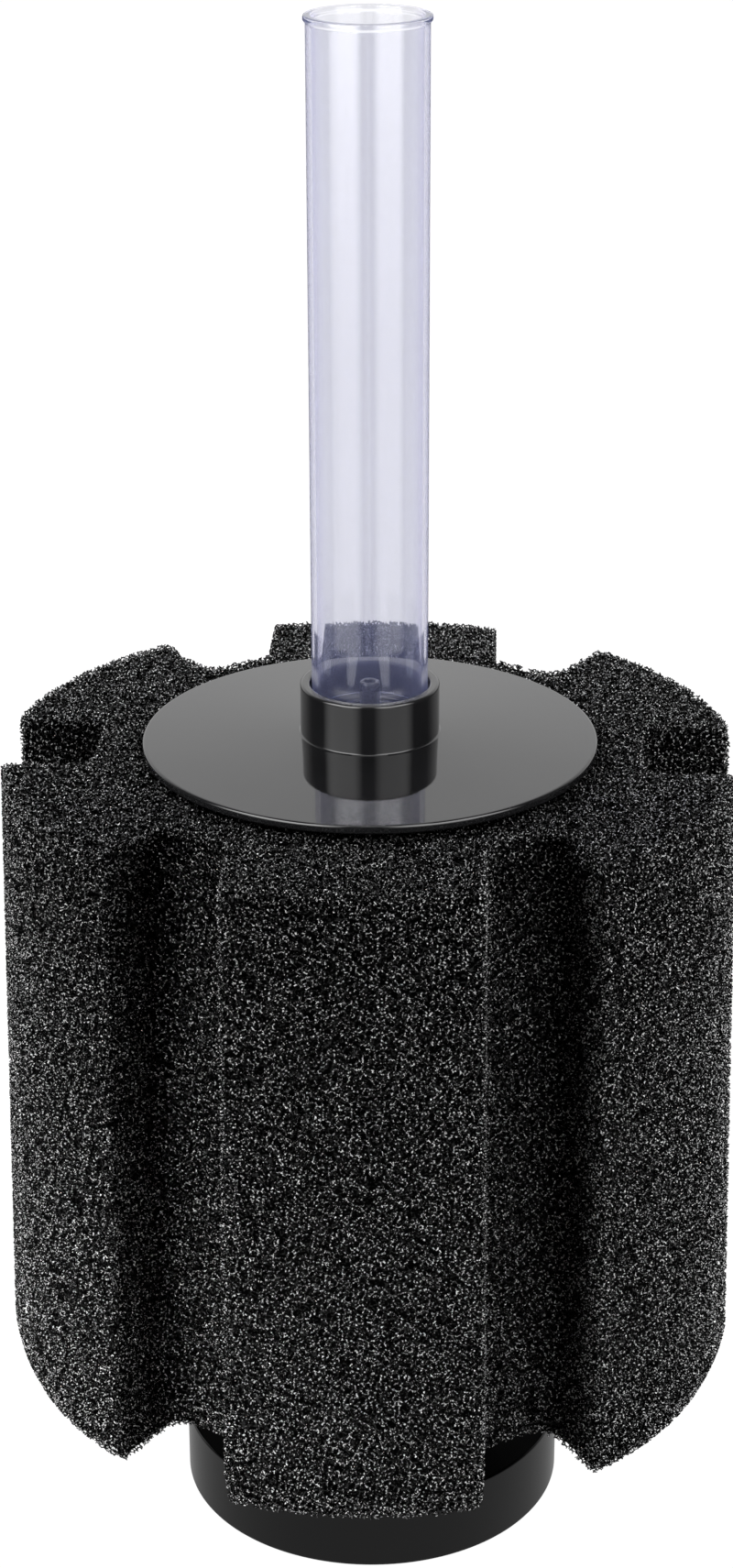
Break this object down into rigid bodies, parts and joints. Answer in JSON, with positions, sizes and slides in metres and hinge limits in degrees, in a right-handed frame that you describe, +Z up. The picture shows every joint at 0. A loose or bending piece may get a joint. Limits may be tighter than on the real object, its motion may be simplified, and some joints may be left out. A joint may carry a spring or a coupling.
{
  "type": "sponge filter",
  "caption": "Air-driven aquarium sponge filter: lobed black foam column on a slotted core, between a disc cap and a plate, on a weighted base, with a clear lift tube.",
  "frame": {"origin": "centre of the base's underside, on the filter's axis", "axes": "+Z up along the lift tube; -Y is the front, the middle of one wide foam lobe"},
  "size_m": [0.1262, 0.128, 0.2715],
  "materials": {
    "clear_plastic": "gloss",
    "gloss_black_plastic": "polished",
    "satin_black_plastic": "satin",
    "base_black_plastic": "satin",
    "black_foam": "matte",
    "weight_steel": "satin"
  },
  "bodies": {
    "base": {"base_housing": "base_black_plastic", "base_weight": "weight_steel", "base_cover": "base_black_plastic"},
    "core": {"lower_plate": "satin_black_plastic", "core_lower": "satin_black_plastic", "core_middle": "satin_black_plastic", "core_upper": "satin_black_plastic"},
    "foam": {"sponge": "black_foam"},
    "cap": {"top_cap": "gloss_black_plastic"},
    "diffuser": {"diffuser_body": "satin_black_plastic"},
    "diffuser_plug": {"diffuser_cap": "satin_black_plastic"},
    "tube": {"lift_tube": "clear_plastic"}
  },
  "joints": [
    {"name": "core_lift", "type": "slide", "parent": "base", "child": "core", "axis": [0, 0, 1], "range_m": [0, 0.03]},
    {"name": "sponge_lift", "type": "slide", "parent": "core", "child": "foam", "axis": [0, 0, 1], "range_m": [0, 0.125]},
    {"name": "cap_lift", "type": "slide", "parent": "foam", "child": "cap", "axis": [0, 0, 1], "range_m": [0, 0.03]},
    {"name": "diffuser_lift", "type": "slide", "parent": "cap", "child": "diffuser", "axis": [0, 0, 1], "range_m": [0, 0.03]},
    {"name": "diffuser_cap_pull", "type": "slide", "parent": "diffuser", "child": "diffuser_plug", "axis": [0, 0, -1], "range_m": [0, 0.01]},
    {"name": "lift_tube_lift", "type": "slide", "parent": "cap", "child": "tube", "axis": [0, 0, 1], "range_m": [0, 0.03]}
  ]
}
